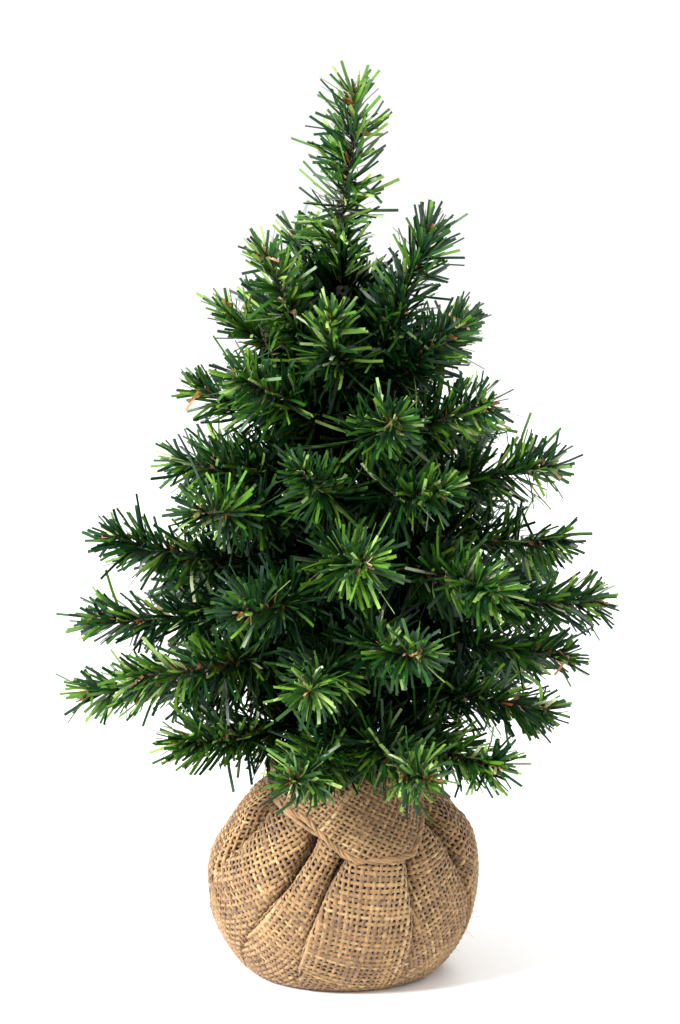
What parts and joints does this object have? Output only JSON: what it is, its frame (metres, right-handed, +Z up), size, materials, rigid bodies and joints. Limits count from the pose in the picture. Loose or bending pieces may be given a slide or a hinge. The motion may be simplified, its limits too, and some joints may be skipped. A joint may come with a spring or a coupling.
{
  "type": "artificial tabletop tree",
  "caption": "Small artificial fir tree of bendable wire branches with flat plastic needles, standing in a weighted gathered burlap sack.",
  "frame": {"origin": "centre of the sack's flat foot, on the surface that the tree stands on", "axes": "+Z up along the trunk, -Y towards the front of the tree, +X to its right-hand side seen from the front"},
  "size_m": [0.2698, 0.24, 0.4509],
  "materials": {
    "burlap": "matte",
    "twine": "matte",
    "filling": "matte",
    "cement": "matte",
    "steel_rod": "satin",
    "trunk_tape": "matte",
    "binding_cord": "matte",
    "wire": "satin",
    "needles": "satin"
  },
  "bodies": {
    "tree": {"burlap_sack": "burlap", "burlap_flap": "burlap", "neck_tie": "twine", "stuffing": "filling", "cement_weight": "cement", "trunk_rod": "steel_rod", "trunk_tape": "trunk_tape", "branch_bindings": "binding_cord", "leader_knuckle": "wire"},
    "leader": {"leader_wire": "wire", "leader_needles": "needles"},
    "branch_01": {"branch_01_wire": "wire", "branch_01_needles": "needles"},
    "branch_02": {"branch_02_wire": "wire", "branch_02_needles": "needles"},
    "branch_03": {"branch_03_wire": "wire", "branch_03_needles": "needles"},
    "branch_04": {"branch_04_wire": "wire", "branch_04_needles": "needles"},
    "branch_05": {"branch_05_wire": "wire", "branch_05_needles": "needles"},
    "branch_06": {"branch_06_wire": "wire", "branch_06_needles": "needles"},
    "branch_07": {"branch_07_wire": "wire", "branch_07_needles": "needles"},
    "branch_08": {"branch_08_wire": "wire", "branch_08_needles": "needles"},
    "branch_09": {"branch_09_wire": "wire", "branch_09_needles": "needles"},
    "branch_10": {"branch_10_wire": "wire", "branch_10_needles": "needles"},
    "branch_11": {"branch_11_wire": "wire", "branch_11_needles": "needles"},
    "branch_12": {"branch_12_wire": "wire", "branch_12_needles": "needles"},
    "branch_13": {"branch_13_wire": "wire", "branch_13_needles": "needles"},
    "branch_14": {"branch_14_wire": "wire", "branch_14_needles": "needles"},
    "branch_15": {"branch_15_wire": "wire", "branch_15_needles": "needles"},
    "branch_16": {"branch_16_wire": "wire", "branch_16_needles": "needles"},
    "branch_17": {"branch_17_wire": "wire", "branch_17_needles": "needles"},
    "branch_18": {"branch_18_wire": "wire", "branch_18_needles": "needles"},
    "branch_19": {"branch_19_wire": "wire", "branch_19_needles": "needles"},
    "branch_20": {"branch_20_wire": "wire", "branch_20_needles": "needles"},
    "branch_21": {"branch_21_wire": "wire", "branch_21_needles": "needles"},
    "branch_22": {"branch_22_wire": "wire", "branch_22_needles": "needles"},
    "branch_23": {"branch_23_wire": "wire", "branch_23_needles": "needles"},
    "branch_24": {"branch_24_wire": "wire", "branch_24_needles": "needles"}
  },
  "joints": [
    {"name": "branch_01_bend", "type": "hinge", "parent": "tree", "child": "branch_01", "pos_m": [-0.00424, -0.00678, 0.128], "axis": [-0.848, 0.5299, 0], "range_deg": [-20, 14]},
    {"name": "branch_02_bend", "type": "hinge", "parent": "tree", "child": "branch_02", "pos_m": [0.00447, -0.00663, 0.1356], "axis": [-0.829, -0.5592, 0], "range_deg": [-17, 10]},
    {"name": "branch_03_bend", "type": "hinge", "parent": "tree", "child": "branch_03", "pos_m": [0.00111, 0.00792, 0.1432], "axis": [0.9903, -0.1392, 0], "range_deg": [-25, 16]},
    {"name": "branch_04_bend", "type": "hinge", "parent": "tree", "child": "branch_04", "pos_m": [0.008, -0.00014, 0.1508], "axis": [-0.0175, -0.9998, 0], "range_deg": [-10, 21]},
    {"name": "branch_05_bend", "type": "hinge", "parent": "tree", "child": "branch_05", "pos_m": [-0.00742, 0.003, 0.1584], "axis": [0.3746, 0.9272, 0], "range_deg": [-13, 11]},
    {"name": "branch_06_bend", "type": "hinge", "parent": "tree", "child": "branch_06", "pos_m": [-0.00436, -0.00671, 0.166], "axis": [-0.8387, 0.5446, 0], "range_deg": [-9, 18]},
    {"name": "branch_07_bend", "type": "hinge", "parent": "tree", "child": "branch_07", "pos_m": [0.00556, -0.00575, 0.1736], "axis": [-0.7193, -0.6947, 0], "range_deg": [-22, 8]},
    {"name": "branch_08_bend", "type": "hinge", "parent": "tree", "child": "branch_08", "pos_m": [0.00084, 0.00796, 0.1812], "axis": [0.9945, -0.1045, 0], "range_deg": [-14, 10]},
    {"name": "branch_09_bend", "type": "hinge", "parent": "tree", "child": "branch_09", "pos_m": [0.00776, 0.00194, 0.1888], "axis": [0.2419, -0.9703, 0], "range_deg": [-7, 10]},
    {"name": "branch_10_bend", "type": "hinge", "parent": "tree", "child": "branch_10", "pos_m": [-0.00776, 0.00194, 0.1964], "axis": [0.2419, 0.9703, 0], "range_deg": [-11, 10]},
    {"name": "branch_11_bend", "type": "hinge", "parent": "tree", "child": "branch_11", "pos_m": [-0.00613, -0.00514, 0.204], "axis": [-0.6428, 0.766, 0], "range_deg": [-10, 30]},
    {"name": "branch_12_bend", "type": "hinge", "parent": "tree", "child": "branch_12", "pos_m": [0.00313, -0.00736, 0.2116], "axis": [-0.9205, -0.3907, 0], "range_deg": [-25, 24]},
    {"name": "branch_13_bend", "type": "hinge", "parent": "tree", "child": "branch_13", "pos_m": [-0.00125, 0.0079, 0.2192], "axis": [0.9877, 0.1564, 0], "range_deg": [-18, 30]},
    {"name": "branch_14_bend", "type": "hinge", "parent": "tree", "child": "branch_14", "pos_m": [0.00765, 0.00234, 0.2268], "axis": [0.2924, -0.9563, 0], "range_deg": [-12, 10]},
    {"name": "branch_15_bend", "type": "hinge", "parent": "tree", "child": "branch_15", "pos_m": [-0.00388, -0.007, 0.2344], "axis": [-0.8746, 0.4848, 0], "range_deg": [-25, 21]},
    {"name": "branch_16_bend", "type": "hinge", "parent": "tree", "child": "branch_16", "pos_m": [0.00655, -0.00459, 0.242], "axis": [-0.5736, -0.8192, 0], "range_deg": [-10, 19]},
    {"name": "branch_17_bend", "type": "hinge", "parent": "tree", "child": "branch_17", "pos_m": [-0.00792, 0.00111, 0.2496], "axis": [0.1392, 0.9903, 0], "range_deg": [-25, 18]},
    {"name": "branch_18_bend", "type": "hinge", "parent": "tree", "child": "branch_18", "pos_m": [0.00363, 0.00713, 0.2572], "axis": [0.891, -0.454, 0], "range_deg": [-20, 30]},
    {"name": "branch_19_bend", "type": "hinge", "parent": "tree", "child": "branch_19", "pos_m": [0.00546, -0.00585, 0.2648], "axis": [-0.7314, -0.682, 0], "range_deg": [-22, 20]},
    {"name": "branch_20_bend", "type": "hinge", "parent": "tree", "child": "branch_20", "pos_m": [-0.00706, -0.00376, 0.2724], "axis": [-0.4695, 0.8829, 0], "range_deg": [-16, 18]},
    {"name": "branch_21_bend", "type": "hinge", "parent": "tree", "child": "branch_21", "pos_m": [0.0007, 0.00797, 0.28], "axis": [0.9962, -0.0872, 0], "range_deg": [-25, 18]},
    {"name": "branch_22_bend", "type": "hinge", "parent": "tree", "child": "branch_22", "pos_m": [0.008, -0.00014, 0.2876], "axis": [-0.0175, -0.9998, 0], "range_deg": [-21, 20]},
    {"name": "branch_23_bend", "type": "hinge", "parent": "tree", "child": "branch_23", "pos_m": [-0.00492, -0.0063, 0.2952], "axis": [-0.788, 0.6157, 0], "range_deg": [-25, 20]},
    {"name": "branch_24_bend", "type": "hinge", "parent": "tree", "child": "branch_24", "pos_m": [-0.00274, 0.00752, 0.3028], "axis": [0.9397, 0.342, 0], "range_deg": [-25, 19]},
    {"name": "leader_bend", "type": "hinge", "parent": "tree", "child": "leader", "pos_m": [0, 0, 0.338], "axis": [0, 1, 0], "range_deg": [-25, 25]}
  ]
}
